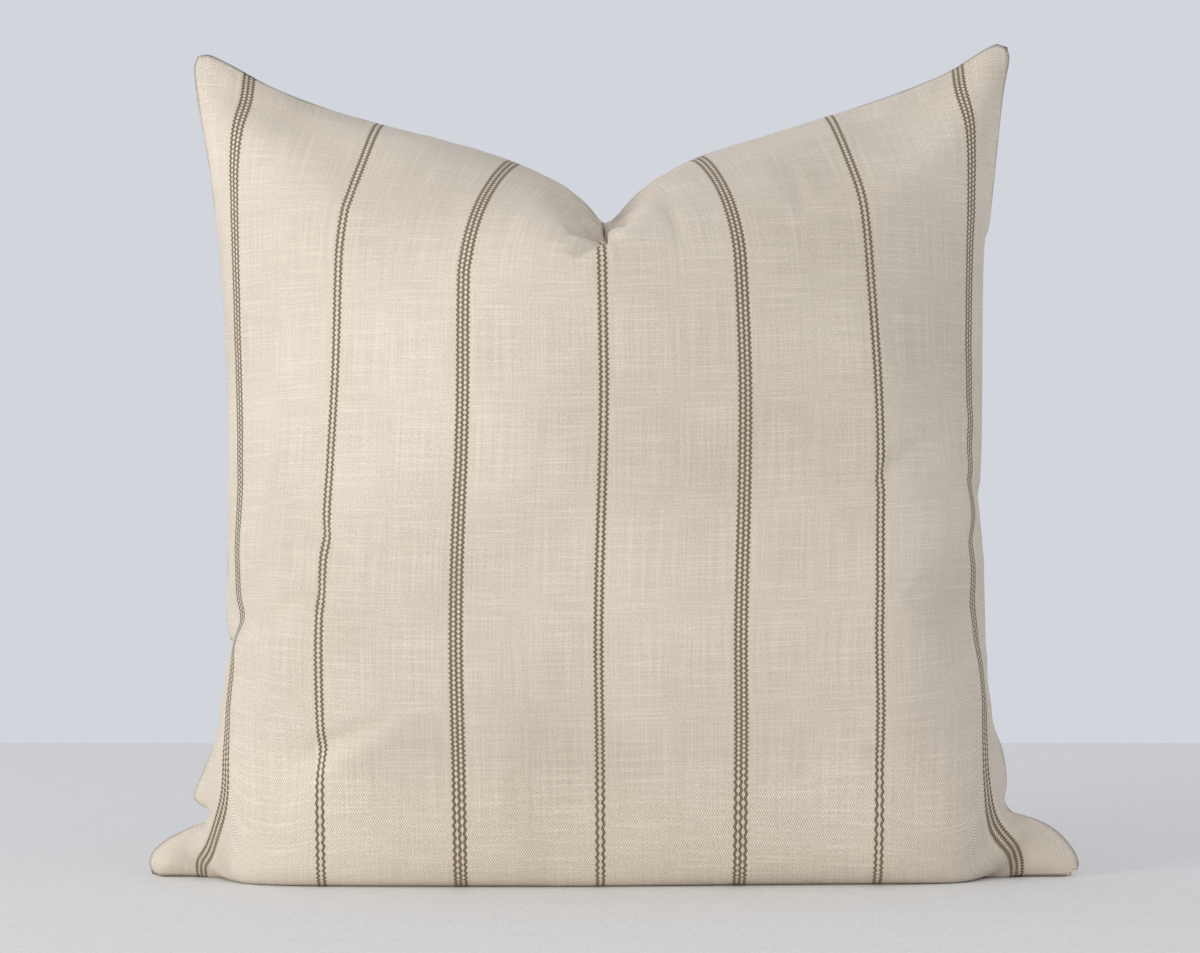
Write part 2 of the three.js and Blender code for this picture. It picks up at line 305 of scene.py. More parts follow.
def normals_of(grid, facing):
    """Outward unit normals of a grid."""
    across, up = np.gradient(grid, axis=0), np.gradient(grid, axis=1)
    normals = np.cross(across, up) * -facing
    return normals / np.maximum(np.linalg.norm(normals, axis=2, keepdims=True), 1e-9)


def relaxed(grid, times, share=0.5):
    """Evens out a grid's inside, where share says how much, and leaves its border where it is."""
    grid = grid.copy()
    if isinstance(share, np.ndarray):
        share = share[1:-1, 1:-1, None]
    for _ in range(times):
        around = (grid[:-2, 1:-1] + grid[2:, 1:-1] + grid[1:-1, :-2] + grid[1:-1, 2:]) / 4
        grid[1:-1, 1:-1] += share * (around - grid[1:-1, 1:-1])
    return grid


def flat_places(count):
    """Flat cloth coordinates of a grid with count points a side: across and up, from the middle."""
    line = np.linspace(-HALF, HALF, count)
    return np.meshgrid(line, line, indexing="ij")


def recess(x, y, ceiling, flat, foot, floor):
    """Lowest height a layer may have: lifted over the zipper, and level with its own floor elsewhere."""
    along = 1 - smoothstep((np.abs(x) - ZIP_HALF) / 0.02)
    across = 1 - smoothstep((np.abs(y) - flat) / (foot - flat))
    return floor + (ceiling - floor) * along * across


# How the cloth rolls over its seams: how far in the roll reaches, and how squarely it leaves the seam.
FOOT_ROLL = {"reach": 0.062, "lean": 0.97, "dip": 0.25}
CREST_ROLL = {"reach": 0.125, "lean": 0.95}
FLANK_ROLL = {"reach": 0.045, "lean": 0.9}
EAR_PLUMP = 0.009  # half thickness of the ears at the lower corners
SWAY = 0.005  # how far the lower half has slipped to one side
SOLE_HALF = 0.05  # half depth of the band that is pressed flat on the surface


def rolled(rows, reach, lean, share, facing, dip=0.0):
    """Lets rows of cloth, each starting at a seam, roll away from it in one curve over their first reach."""
    rows = rows.copy()
    for row, steps, out, part in zip(rows, np.rint(reach / CELL).astype(int), lean, share):
        if steps < 3 or part == 0:
            continue
        start, end = row[0].copy(), row[steps].copy()
        chord = end - start
        leave = out * np.array((0, facing, -dip)) * np.linalg.norm(chord) + (1 - out) * chord
        leave *= steps * CELL / np.linalg.norm(leave)
        arrive = (row[steps + 2] - row[steps - 2]) / 4 * steps
        t = np.linspace(0, 1, steps + 1)[:, None]
        curve = ((2 * t - 3) * t * t + 1) * start + ((t - 2) * t + 1) * t * leave
        curve += (3 - 2 * t) * t * t * end + (t - 1) * t * t * arrive
        row[:steps + 1] += part * (curve - row[:steps + 1])
    return rows


def eased(grids):
    """Rolls the cloth over its seams, calms the creases by the lower corners, and plumps the ears there."""
    done = []
    for grid, facing in zip(grids, (-1, 1)):
        u, v = flat_places(len(grid))
        line = v[0]
        to_end = HALF - np.abs(line)
        bend = smoothstep(to_end / 0.12)
        corner = np.hypot(HALF - np.abs(u), HALF + v)
        grid = relaxed(grid, 12, 0.5 * (1 - smoothstep((corner - 0.09) / 0.09)))
        foot = 1 - smoothstep((np.abs(line) - 0.2) / 0.035)
        reach = np.minimum(FOOT_ROLL["reach"], 0.6 * to_end)
        grid = rolled(grid, reach, FOOT_ROLL["lean"] * bend, foot, facing, FOOT_ROLL["dip"])
        crest = smoothstep((np.abs(line) - 0.018) / 0.03)
        reach = np.minimum(CREST_ROLL["reach"], 0.75 * to_end)
        grid = rolled(grid[:, ::-1], reach, CREST_ROLL["lean"] * bend, crest, facing)[:, ::-1]
        flank = smoothstep((line + 0.16) / 0.05)
        reach = np.minimum(FLANK_ROLL["reach"], 0.5 * to_end)
        for turn in (1, -1):
            rows = grid[::turn].swapaxes(0, 1)
            rows = rolled(rows, reach, FLANK_ROLL["lean"] * bend, flank, facing)
            grid = rows.swapaxes(0, 1)[::turn]
        to_edge = HALF - np.maximum(np.abs(u), np.abs(v))
        blend = (1 - smoothstep((to_edge - 0.05) / 0.04)) * smoothstep((np.hypot(u, HALF - v) - 0.05) / 0.04)
        grid = relaxed(grid, 5, 0.4 * blend)
        sway = smoothstep((HALF - np.abs(u)) / 0.1) * (1 - smoothstep((grid[:, :, 2] - 0.12) / 0.16))
        grid[:, :, 0] -= SWAY * sway
        plump = EAR_PLUMP * (1 - np.exp(-to_edge / 0.008)) * (1 - smoothstep((corner - 0.03) / 0.05))
        grid[:, :, 1] = facing * np.maximum(facing * grid[:, :, 1], plump)
        done.append(grid)
    return done


def seated(grids):
    """Presses the lower edge flat on the surface, with the recess for the zipper in its middle."""
    done = []
    for grid in grids:
        u, v = flat_places(len(grid))
        sole = (HALF + v[0] > 0.012) & (HALF + v[0] < 0.026)
        body = 1 - smoothstep((np.abs(u[:, 0]) - 0.2) / 0.03)
        low = grid[:, :, 2].min(axis=1)
        low += body * (grid[:, sole, 2].mean(axis=1) - low)
        low = np.convolve(np.pad(low, 2, mode="edge"), np.ones(5) / 5, mode="valid")
        grid = grid.copy()
        grid[:, :, 2] -= low[:, None] * (1 - smoothstep(grid[:, :, 2] / 0.08))
        near = body[:, None] * (1 - smoothstep((HALF + v - 0.06) / 0.06))
        grid[:, :, 2] *= 1 - near * (1 - smoothstep((np.abs(grid[:, :, 1]) - SOLE_HALF) / 0.03))
        grid = relaxed(grid, 4, 0.4 * near * smoothstep((HALF + v - 0.03) / 0.03))
        lowest = recess(grid[:, :, 0], grid[:, :, 1], 0.006, 0.008, 0.013, 0.0)
        grid[:, :, 2] = np.maximum(grid[:, :, 2], lowest)
        done.append(grid)
    return done


def puckered(grid, facing):
    """Small gathers along the sewn seams, and the uneven push of the feathers."""
    u, v = flat_places(len(grid))
    normals = normals_of(grid, facing)
    to_seam = np.minimum(HALF - np.abs(u), HALF - v)
    along = np.where(HALF - np.abs(u) < HALF - v, v, u)
    gather = np.exp(-to_seam / 0.014) * (1 - np.exp(-to_seam / 0.003))
    height = np.zeros(u.shape)
    for i in range(u.shape[0]):
        for j in range(u.shape[1]):
            a, b = u[i, j], v[i, j]
            tuck = noise.noise(Vector((along[i, j] * 55, to_seam[i, j] * 12, 3.0 * facing)))
            lump = noise.noise(Vector((a * 16, b * 16, 7.0 + facing)))
            height[i, j] = 0.0022 * gather[i, j] * tuck + 0.0009 * lump * min(1.0, to_seam[i, j] / 0.04)
    height *= smoothstep(grid[:, :, 2] / 0.03)
    return grid + normals * height[:, :, None]


def kept_apart(grid, facing):
    """Keeps the front half in front, the back half behind, both above the surface, and the lips apart."""
    grid = grid.copy()
    u, _ = flat_places(len(grid))
    grid[:, :, 1] = facing * np.maximum(facing * grid[:, :, 1], 0.0)
    grid[:, :, 2] = np.maximum(grid[:, :, 2], 0.0)
    near = (np.abs(u) < 0.06) & (grid[:, :, 2] > VALLEY["height"] - 0.012)
    gap = 0.0004
    fold = VALLEY["x"] + 0.002 * np.sin(grid[:, :, 1] * 60)
    left, right = near & (u < 0), near & (u > 0)
    grid[:, :, 0][left] = np.minimum(grid[:, :, 0], fold - gap)[left]
    grid[:, :, 0][right] = np.maximum(grid[:, :, 0], fold + gap)[right]
    return grid


def parted(grid, facing):
    """Opens the seam a hair's breadth where it is sewn, and wider where the zipper is."""
    grid = grid.copy()
    grid[:, :, 1] += facing * 0.00006
    slit = 0.00085 * (1 - smoothstep((np.abs(grid[:, 0, 0]) - ZIP_HALF) / 0.012))
    grid[:, 0, 1] += facing * slit
    return grid


def inward(grid, facing, depth):
    """The grid moved into the pillow by depth, and by less at the corners, without crossing the middle."""
    u, v = flat_places(len(grid))
    corner = np.hypot(HALF - np.abs(u), HALF - np.abs(v))
    share = 0.1 + 0.9 * smoothstep(corner / 0.012)
    moved = grid - normals_of(grid, facing) * (depth * share)[:, :, None]
    moved[:, :, 1] = facing * np.maximum(facing * moved[:, :, 1], 0.00005)
    moved[:, :, 2] = np.maximum(moved[:, :, 2], 0.0)
    return moved


def quads_of(number):
    """The quads between neighbouring points of a grid of point numbers."""
    quads = np.stack([number[:-1, :-1], number[1:, :-1], number[1:, 1:], number[:-1, 1:]], axis=-1)
    return quads.reshape(-1, 4)


def border_of(count):
    """Grid positions round the border, in order."""
    last = count - 1
    return ([(i, 0) for i in range(count)] + [(last, j) for j in range(1, count)]
            + [(i, last) for i in range(last - 1, -1, -1)] + [(0, j) for j in range(last - 1, 0, -1)])


def cloth_panel(name, outer, inner, facing, material):
    """A closed panel of cloth with an outer and an inner skin. Its UV map is the flat cut, in metres."""
    count = len(outer)
    points = np.concatenate([outer.reshape(-1, 3), inner.reshape(-1, 3)])
    u, v = flat_places(count)
    flat = np.stack([u.ravel(), v.ravel()], axis=1)
    flat = np.concatenate([flat, flat])
    skin = count * count
    number = np.arange(skin).reshape(count, count)
    quads = quads_of(number)
    if facing > 0:
        quads = quads[:, ::-1]
    rim = []
    ring = [number[place] for place in border_of(count)]
    for a, b in zip(ring, ring[1:] + ring[:1]):
        quad = [a, a + skin, b + skin, b]
        rim.append(quad if facing < 0 else quad[::-1])
    faces = np.concatenate([quads, quads[:, ::-1] + skin, np.array(rim)])
    mesh = bpy.data.meshes.new(name)
    mesh.from_pydata(points.tolist(), [], faces.tolist())
    layer = mesh.uv_layers.new(name="cloth")
    corner = np.empty(len(mesh.loops), dtype=np.int32)
    mesh.loops.foreach_get("vertex_index", corner)
    layer.data.foreach_set("uv", flat[corner].ravel())
    mesh.polygons.foreach_set("use_smooth", [True] * len(mesh.polygons))
    mesh.materials.append(material)
    mesh.validate()
    piece = bpy.data.objects.new(name, mesh)
    bpy.context.scene.collection.objects.link(piece)
    return piece


def sampled(grid, share):
    """The part of a grid inside share of its width and height, with as many points as the grid has."""
    count = len(grid)
    places = (np.linspace(-share, share, count) + 1) / 2 * (count - 1)
    for _ in range(2):
        low = np.minimum(places.astype(int), count - 2)
        t = (places - low)[:, None, None]
        grid = ((1 - t) * grid[low] + t * grid[low + 1]).swapaxes(0, 1)
    return grid


def hull_of(grids):
    """A tree of both grids' faces, pointing outwards, to tell what lies inside them."""
    points, faces = [], []
    for grid, facing in zip(grids, (-1, 1)):
        count = len(grid)
        quads = quads_of(np.arange(count * count).reshape(count, count) + len(points))
        faces += (quads if facing < 0 else quads[:, ::-1]).tolist()
        points += grid.reshape(-1, 3).tolist()
    return BVHTree.FromPolygons(points, faces)


def kept_inside(grid, hull, gap):
    """Pushes a grid's points inwards until each is at least gap inside the hull."""
    grid = grid.copy()
    for _ in range(2):
        for place in grid.reshape(-1, 3):
            near, normal, _, _ = hull.find_nearest(Vector(place))
            inside = (near - Vector(place)).dot(normal)
            if inside < gap:
                place += np.array(normal) * (inside - gap)
    return grid


def inner_pair(grids, share, gap, floor, ceiling, flat, foot):
    """Front and back grids of a layer inside the cover, closed along its own edge."""
    hull = hull_of(grids)
    pair = []
    for grid, facing in zip(grids, (-1, 1)):
        grid = relaxed(sampled(inward(grid, facing, gap), share), 3)
        pair.append(kept_inside(grid, hull, gap))
    middle = (pair[0] + pair[1]) / 2
    u, v = flat_places(len(middle))
    to_edge = HALF - np.maximum(np.abs(u), np.abs(v))
    fullness = np.sqrt(np.clip(1 - (1 - np.clip(to_edge / 0.03, 0, 1)) ** 2, 0, 1))[:, :, None]
    done = []
    for grid, facing in zip(pair, (-1, 1)):
        grid = middle + (grid - middle) * fullness
        grid[:, :, 1] = facing * np.maximum(facing * grid[:, :, 1], 0.0002)
        lowest = recess(grid[:, :, 0], grid[:, :, 1], ceiling, flat, foot, floor)
        grid[:, :, 2] = np.maximum(grid[:, :, 2], lowest)
        done.append(grid)
    return done


# ---- Materials ----

YARN = 0.00065  # distance between yarns of the cover's cloth
STRIPE_PITCH = 0.0744  # from one woven stripe to the next
DOUBLE_STRIPE = (-0.0016, 0.0016)  # dark lines of the narrow stripe, from its middle
TRIPLE_STRIPE = (-0.0027, 0.0, 0.0027)  # dark lines of the wide stripe
LINE_WIDTH = 0.0015
TOOTH = 0.0026  # length of one tooth of a zigzag line
SWING = 0.00042  # how far a zigzag line swings to either side


class Finish:
    """One material and the nodes that give it its pattern."""

    def __init__(self, name, **surface):
        self.material = bpy.data.materials.new(name)
        self.material.use_nodes = True
        self.tree = self.material.node_tree
        self.surface = self.tree.nodes["Principled BSDF"]
        for socket, value in surface.items():
            self.surface.inputs[socket.replace("_", " ")].default_value = value

    def put(self, socket, value):
        if isinstance(value, bpy.types.NodeSocket):
            self.tree.links.new(value, socket)
        elif value is not None:
            socket.default_value = value

    def math(self, operation, a, b=None, c=None):
        node = self.tree.nodes.new("ShaderNodeMath")
        node.operation = operation
        for socket, value in zip(node.inputs, (a, b, c)):
            self.put(socket, value)
        return node.outputs[0]

    def times(self, a, b):
        return self.math("MULTIPLY", a, b)

    def plus(self, a, b):
        return self.math("ADD", a, b)

    def parts(self, vector):
        node = self.tree.nodes.new("ShaderNodeSeparateXYZ")
        self.put(node.inputs[0], vector)
        return node.outputs

    def vector(self, x=0.0, y=0.0, z=0.0):
        node = self.tree.nodes.new("ShaderNodeCombineXYZ")
        for socket, value in zip(node.inputs, (x, y, z)):
            self.put(socket, value)
        return node.outputs[0]

    def cut(self):
        """The flat cut's coordinates, across and up, in metres."""
        node = self.tree.nodes.new("ShaderNodeUVMap")
        node.uv_map = "cloth"
        return self.parts(node.outputs[0])[:2]

    def place(self):
        """The place on the object, in metres."""
        return self.tree.nodes.new("ShaderNodeTexCoord").outputs["Object"]

    def noise(self, vector, scale=1.0, detail=2.0):
        node = self.tree.nodes.new("ShaderNodeTexNoise")
        node.inputs["Scale"].default_value = scale
        node.inputs["Detail"].default_value = detail
        self.put(node.inputs["Vector"], vector)
        return node.outputs[0]

    def ramp(self, value, low, high, start=0.0, end=1.0):
        node = self.tree.nodes.new("ShaderNodeMapRange")
        for socket, given in zip(node.inputs, (value, low, high, start, end)):
            self.put(socket, given)
        return node.outputs[0]

    def mix(self, share, a, b):
        node = self.tree.nodes.new("ShaderNodeMix")
        node.data_type = "RGBA"
        for socket, value in zip((node.inputs[0], node.inputs[6], node.inputs[7]), (share, a, b)):
            self.put(socket, value if isinstance(value, (float, bpy.types.NodeSocket)) else (*value, 1.0))
        return node.outputs[2]

    def colour(self, value):
        self.put(self.surface.inputs["Base Color"], value)

    def bump(self, height, distance, strength=1.0):
        node = self.tree.nodes.new("ShaderNodeBump")
        node.inputs["Strength"].default_value = strength
        node.inputs["Distance"].default_value = distance
        self.put(node.inputs["Height"], height)
        self.put(self.surface.inputs["Normal"], node.outputs[0])


def plain_weave(finish, u, v, yarn, unevenness):
    """A plain weave's height, from 0 to 1, with slubs along the weft and fine lines along the warp."""
    wander = finish.plus(finish.noise(finish.vector(u, v), 90, 1), -0.5)
    u = finish.plus(u, finish.times(wander, yarn * 1.5))
    v = finish.plus(v, finish.times(wander, yarn * 1.2))
    turn = math.pi / yarn
    warp, weft = (finish.math("SINE", finish.times(along, turn)) for along in (u, v))
    over = finish.times(warp, weft)
    slub = finish.noise(finish.vector(finish.times(u, 26), finish.times(v, 0.9 / yarn)), 1, 1)
    slub = finish.ramp(slub, 0.5, 0.72)
    streak = finish.noise(finish.vector(finish.times(u, 0.9 / yarn), finish.times(v, 18)), 1, 1)
    streak = finish.ramp(streak, 0.42, 0.7)
    speck = finish.noise(finish.vector(u, v), 0.6 / yarn, 2)
    uneven = finish.plus(finish.times(slub, 0.45), finish.times(streak, 0.35))
    uneven = finish.times(finish.math("MULTIPLY_ADD", speck, 1.3, uneven), unevenness)
    return finish.plus(finish.math("MULTIPLY_ADD", over, 0.42, 0.3), uneven)


def stripe_lines(finish, u, v):
    """How much of the dark stripe yarn shows: zigzag lines, two or three to a stripe by turns."""
    wave = finish.times(finish.math("COSINE", finish.times(v, 2 * math.pi / TOOTH)), SWING)
    fray = finish.plus(finish.noise(finish.vector(u, v), 900, 2), -0.5)
    shown = 0.0
    for start, lines in ((0.0, DOUBLE_STRIPE), (STRIPE_PITCH, TRIPLE_STRIPE)):
        place = finish.math("WRAP", finish.plus(u, -start), STRIPE_PITCH, -STRIPE_PITCH)
        for turn, line in enumerate(lines):
            centre = finish.math("MULTIPLY_ADD", wave, (-1) ** turn, line)
            away = finish.math("ABSOLUTE", finish.math("SUBTRACT", place, centre))
            away = finish.math("MULTIPLY_ADD", fray, 0.0005, away)
            shown = finish.math("MAXIMUM", shown, finish.ramp(away, LINE_WIDTH * 0.72, LINE_WIDTH * 0.36))
    return shown


def cover_cloth(name, shade, light, striped):
    """The cover's slubby cotton and linen cloth."""
    finish = Finish(name, Roughness=0.92, Sheen_Weight=0.12, Sheen_Roughness=0.6, Specular_IOR_Level=0.2)
    u, v = finish.cut()
    weave = plain_weave(finish, u, v, YARN, 0.42)
    cloudy = finish.noise(finish.vector(u, v), 9, 3)
    tone = finish.plus(finish.times(weave, 0.85), finish.ramp(cloudy, 0.3, 0.7, -0.08, 0.12))
    colour = finish.mix(tone, shade, light)
    if striped:
        lines = stripe_lines(finish, u, v)
        dyed = finish.mix(weave, (0.115, 0.085, 0.045), (0.26, 0.195, 0.11))
        colour = finish.mix(lines, colour, dyed)
        weave = finish.math("MULTIPLY_ADD", lines, -0.25, weave)
    finish.colour(colour)
    finish.bump(weave, 0.0004, 0.9)
    return finish.material


def cambric():
    """The insert's close white down-proof cotton."""
    finish = Finish("cambric", Roughness=0.75, Sheen_Weight=0.08, Specular_IOR_Level=0.3)
    u, v = finish.cut()
    weave = plain_weave(finish, u, v, 0.0003, 0.22)
    finish.colour(finish.mix(weave, (0.74, 0.73, 0.69), (0.9, 0.89, 0.86)))
    finish.bump(weave, 0.00012, 0.6)
    return finish.material


def feathers():
    """The filling's feathers and down: soft tufts with fine barbs."""
    matte = {"Roughness": 0.95, "Sheen_Weight": 0.3, "Sheen_Roughness": 0.5, "Specular_IOR_Level": 0.15}
    finish = Finish("feathers", **matte)
    place = finish.place()
    tuft = finish.noise(place, 55, 4)
    x, y, z = finish.parts(place)
    combed = finish.vector(finish.times(x, 1400), finish.times(y, 160), finish.times(z, 260))
    barbs = finish.noise(combed, 1, 3)
    fluff = finish.plus(finish.times(tuft, 0.6), finish.times(barbs, 0.4))
    finish.colour(finish.mix(finish.ramp(fluff, 0.3, 0.65), (0.55, 0.52, 0.46), (0.9, 0.88, 0.84)))
    finish.bump(fluff, 0.002, 0.8)
    return finish.material


def thread(name, shade, light):
    """Spun polyester sewing thread, with its twist."""
    finish = Finish(name, Roughness=0.6, Sheen_Weight=0.15, Specular_IOR_Level=0.4)
    x, y, z = finish.parts(finish.place())
    slant = finish.plus(finish.times(finish.plus(x, z), 2 * math.pi / 0.0007), finish.times(y, 6000))
    twist = finish.math("MULTIPLY_ADD", finish.math("SINE", slant), 0.5, 0.5)
    fibre = finish.noise(finish.place(), 2600, 2)
    ply = finish.plus(finish.times(twist, 0.65), finish.times(fibre, 0.35))
    finish.colour(finish.mix(ply, shade, light))
    finish.bump(ply, 0.0001, 0.7)
    return finish.material


def label_satin():
    """Woven satin ribbon: long floats across."""
    finish = Finish("label_satin", Roughness=0.38, Anisotropic=0.5, Sheen_Weight=0.1)
    u, v = finish.cut()
    floats = finish.noise(finish.vector(finish.times(u, 700), finish.times(v, 6500)), 1, 2)
    wave = finish.math("SINE", finish.times(v, 2 * math.pi / 0.00035))
    rib = finish.math("MULTIPLY_ADD", wave, 0.2, floats)
    finish.colour(finish.mix(rib, (0.78, 0.76, 0.72), (0.93, 0.92, 0.9)))
    finish.put(finish.surface.inputs["Roughness"], finish.ramp(floats, 0.3, 0.7, 0.3, 0.5))
    finish.bump(rib, 0.00006, 0.5)
    return finish.material


def zipper_tape():
    """Knitted polyester tape: ribs along its length with small stitches across them."""
    finish = Finish("zipper_tape", Roughness=0.8, Sheen_Weight=0.1, Specular_IOR_Level=0.3)
    x, y, _ = finish.parts(finish.place())
    ribs = finish.math("SINE", finish.times(y, 2 * math.pi / 0.0011))
    lean = finish.times(finish.math("ABSOLUTE", ribs), 0.0004)
    knots = finish.math("SINE", finish.times(finish.plus(x, lean), 2 * math.pi / 0.0009))
    knit = finish.plus(finish.math("MULTIPLY_ADD", ribs, 0.25, 0.5), finish.times(knots, 0.2))
    fuzz = finish.noise(finish.place(), 1800, 2)
    knit = finish.math("MULTIPLY_ADD", finish.plus(fuzz, -0.5), 0.3, knit)
    finish.colour(finish.mix(knit, (0.62, 0.56, 0.45), (0.82, 0.76, 0.65)))
    finish.bump(knit, 0.0002, 0.8)
    return finish.material


def coil_nylon():
    """Drawn nylon monofilament, a little milky, its gloss uneven with the milkiness."""
    finish = Finish("coil_nylon", Roughness=0.35, Subsurface_Weight=0.1, Subsurface_Scale=0.0005)
    milk = finish.noise(finish.place(), 420, 3)
    finish.colour(finish.mix(finish.ramp(milk, 0.35, 0.65), (0.66, 0.59, 0.47), (0.8, 0.74, 0.62)))
    finish.put(finish.surface.inputs["Roughness"], finish.ramp(milk, 0.3, 0.7, 0.25, 0.5))
    finish.bump(milk, 0.00005, 0.4)
    return finish.material


def enamel():
    """Baked enamel on cast zinc, worn to bare metal in small chips."""
    finish = Finish("enamel", Specular_IOR_Level=0.5, Coat_Weight=0.25, Coat_Roughness=0.25)
    orange_peel = finish.noise(finish.place(), 900, 2)
    chips = finish.ramp(finish.noise(finish.place(), 650, 4), 0.69, 0.72)
    paint = finish.mix(orange_peel, (0.66, 0.59, 0.47), (0.78, 0.72, 0.6))
    finish.colour(finish.mix(chips, paint, (0.5, 0.49, 0.47)))
    finish.put(finish.surface.inputs["Metallic"], chips)
    finish.put(finish.surface.inputs["Roughness"], finish.ramp(orange_peel, 0.3, 0.7, 0.3, 0.42))
    finish.bump(finish.math("MULTIPLY_ADD", chips, -1.5, orange_peel), 0.00004, 0.6)
    return finish.material


def table_linen():
    """A pale grey tablecloth of fine flecked linen."""
    finish = Finish("table_linen", Roughness=0.9, Specular_IOR_Level=0.2)
    place = finish.place()
    x, y, _ = finish.parts(place)
    across = finish.noise(finish.vector(finish.times(x, 60), finish.times(y, 1100)), 1, 2)
    along = finish.noise(finish.vector(finish.times(x, 1100), finish.times(y, 60)), 1, 2)
    fleck = finish.plus(finish.times(across, 0.5), finish.times(along, 0.5))
    finish.colour(finish.mix(finish.ramp(fleck, 0.35, 0.65), (0.81, 0.795, 0.77), (0.91, 0.9, 0.88)))
    finish.bump(fleck, 0.0003, 0.5)
    return finish.material


# ---- Pieces ----


def claim(piece, body, slot, *nodes):
    """Says which body a new piece moves with and which nodes it stands for; the slot is not used."""
    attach(piece, body)
    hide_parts(*nodes)
    return piece


def cover(grids, materials):
    """The two panels of the cover. Returns their outer grids."""
    outer = []
    slots = ("striped_cloth", "plain_cloth")
    for grid, facing, side, material, slot in zip(grids, (-1, 1), ("front", "back"), materials, slots):
        grid = parted(kept_apart(puckered(finer(grid), facing), facing), facing)
        lining = inward(grid, facing, CLOTH)
        panel = cloth_panel(f"cover_{side}_cloth", grid, lining, facing, material)
        claim(panel, "pillow", slot, f"cover_{side}_panel")
        outer.append(grid)
    return outer


def insert(grids, ticking, filling):
    """The insert inside the cover: its two panels of ticking, and the feathers in them."""
    outside = inner_pair(grids, 0.955, 0.0035, 0.003, 0.0132, 0.016, 0.022)
    inside = [inward(grid, facing, 0.0005) for grid, facing in zip(outside, (-1, 1))]
    for grid, lining, facing, side in zip(outside, inside, (-1, 1), ("front", "back")):
        panel = cloth_panel(f"insert_{side}_cambric", parted_edge(grid, facing), lining, facing, ticking)
        claim(panel, "pillow", "cambric_ticking", f"insert_{side}_ticking")
    feathers_grids = inner_pair(grids, 0.93, 0.006, 0.0052, 0.0156, 0.018, 0.024)
    body = filling_body("insert_feathers", feathers_grids, filling)
    claim(body, "pillow", "feather_filling", "insert_filling")
    return outside


def parted_edge(grid, facing):
    """Keeps one panel's sewn edge a hair's breadth off the other's."""
    grid = grid.copy()
    grid[:, :, 1] += facing * 0.0001
    return grid


def filling_body(name, grids, material):
    """The filling as one closed body, with the tufts of its feathers."""
    count = len(grids[0])
    body = bmesh.new()
    flat = body.loops.layers.uv.new("cloth")
    u, v = flat_places(count)
    middle = (grids[0] + grids[1]) / 2
    numbered = []
    for grid, facing in zip(grids, (-1, 1)):
        normals = normals_of(grid, facing)
        verts = {}
        for i in range(0, count, 2):
            for j in range(0, count, 2):
                at_edge = i in (0, count - 1) or j in (0, count - 1)
                if at_edge and facing > 0:
                    verts[i, j] = numbered[0][i, j]
                    continue
                place = middle[i, j] if at_edge else grid[i, j]
                tuft = 0.0 if at_edge else 0.0018 * noise.noise(Vector(place * 60))
                inset = -0.0018 * (not at_edge)
                verts[i, j] = body.verts.new(place + normals[i, j] * (tuft + inset))
        numbered.append(verts)
        for i in range(0, count - 1, 2):
            for j in range(0, count - 1, 2):
                corners = [(i, j), (i + 2, j), (i + 2, j + 2), (i, j + 2)]
                if facing > 0:
                    corners.reverse()
                face = body.faces.new([verts[corner] for corner in corners])
                face.smooth = True
                for loop, corner in zip(face.loops, corners):
                    loop[flat].uv = (u[corner], v[corner])
    mesh = bpy.data.meshes.new(name)
    body.to_mesh(mesh)
    body.free()
    mesh.materials.append(material)
    piece = bpy.data.objects.new(name, mesh)
    bpy.context.scene.collection.objects.link(piece)
    return piece


def thread_run(name, points, radius, material):
    """A sewing thread along points, as a closed tube."""
    route = bpy.data.curves.new(name, "CURVE")
    route.dimensions = "3D"
    route.bevel_depth = radius
    route.bevel_resolution = 1
    route.use_fill_caps = True
    spline = route.splines.new("POLY")
    spline.points.add(len(points) - 1)
    for place, point in zip(points, spline.points):
        point.co = (*place, 1.0)
    piece = bpy.data.objects.new(name, route)
    bpy.context.scene.collection.objects.link(piece)
    deselect()
    piece.select_set(True)
    bpy.context.view_layer.objects.active = piece
    bpy.ops.object.convert(target="MESH")
    piece = bpy.context.object
    piece.data.materials.append(material)
    bpy.ops.object.shade_smooth()
    return piece


def between(grids, u, v):
    """The place midway between the front and the back at a flat place."""
    last = len(grids[0]) - 1
    i, j = (u / HALF + 1) / 2 * last, (v / HALF + 1) / 2 * last
    a, b = min(int(i), last - 1), min(int(j), last - 1)
    s, t = i - a, j - b
    middle = [(grid[a, b] * (1 - s) + grid[a + 1, b] * s) * (1 - t)
              + (grid[a, b + 1] * (1 - s) + grid[a + 1, b + 1] * s) * t for grid in grids]
    return (middle[0] + middle[1]) / 2


def seam_stitches(name, grids, pitch, wide, narrow, radius, material, node):
    """A zigzag of thread along the side and top seams, between two shares of the cut's width."""
    reach = 0.2 * HALF
    length = 2 * (2 * HALF - reach) + 2 * HALF
    points = []
    for k in range(int(length / pitch)):
        share = wide if k % 2 else narrow
        s = k * pitch
        side = 2 * HALF - reach
        if s < side:
            u, v = -HALF, -HALF + reach + s
        elif s < side + 2 * HALF:
            u, v = -HALF + s - side, HALF
        else:
            u, v = HALF, HALF - (s - side - 2 * HALF)
        if min(abs(u), abs(v)) < 0.88 * HALF:
            points.append(between(grids, u * share, v * share))
    run = thread_run(name, points, radius, material)
    return claim(run, "pillow", "sewing_thread", node)


